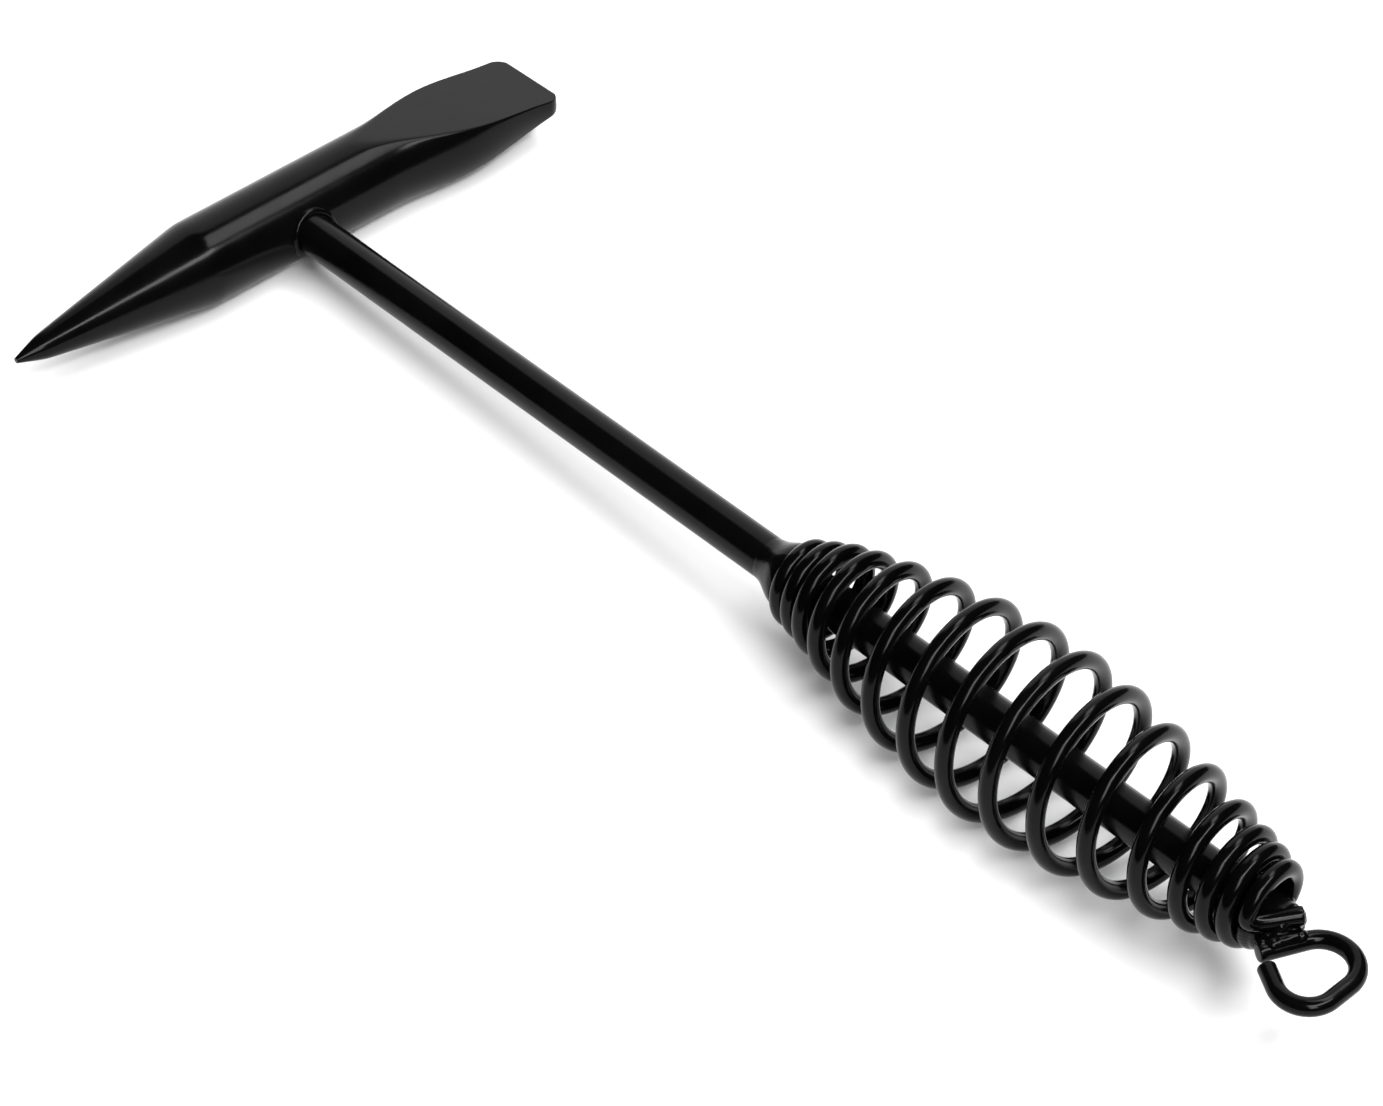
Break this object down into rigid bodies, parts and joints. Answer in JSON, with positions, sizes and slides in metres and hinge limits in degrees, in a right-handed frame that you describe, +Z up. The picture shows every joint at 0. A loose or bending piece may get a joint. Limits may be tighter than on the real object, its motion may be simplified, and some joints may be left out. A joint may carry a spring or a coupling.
{
  "type": "chipping hammer",
  "caption": "Chipping hammer with a pointed and a chisel end, a rod handle, a barrel-shaped wire spring grip and a wire hanging ring.",
  "frame": {"origin": "On the surface that the hammer lies on, under the middle of its bounding box", "axes": "+X runs along the handle from the head to the hanging ring, +Y from the point to the chisel edge, +Z up from the surface that the hammer lies on. The handle rises by 2.3 degrees towards the ring, because the grip is thicker than the head"},
  "size_m": [0.2902, 0.1294, 0.0366],
  "materials": {
    "satin_black_paint": "satin near-black paint on steel",
    "gloss_black_paint": "glossy near-black paint on spring wire",
    "weld_black_paint": "near-black paint over rippled weld metal"
  },
  "bodies": {
    "root": {"hammer_head": "satin_black_paint", "handle_rod": "satin_black_paint", "head_weld": "weld_black_paint", "front_spring_weld": "weld_black_paint", "rear_spring_weld": "weld_black_paint", "hanging_ring": "gloss_black_paint", "ring_weld": "weld_black_paint"},
    "grip": {"grip_spring": "gloss_black_paint"}
  },
  "joints": [
    {"name": "grip_give", "type": "slide", "parent": "root", "child": "grip", "axis": [0, 1, 0], "range_m": [-0.003, 0.003], "stiffness_N_per_m": 4000, "deforming": ["grip_spring"]}
  ]
}
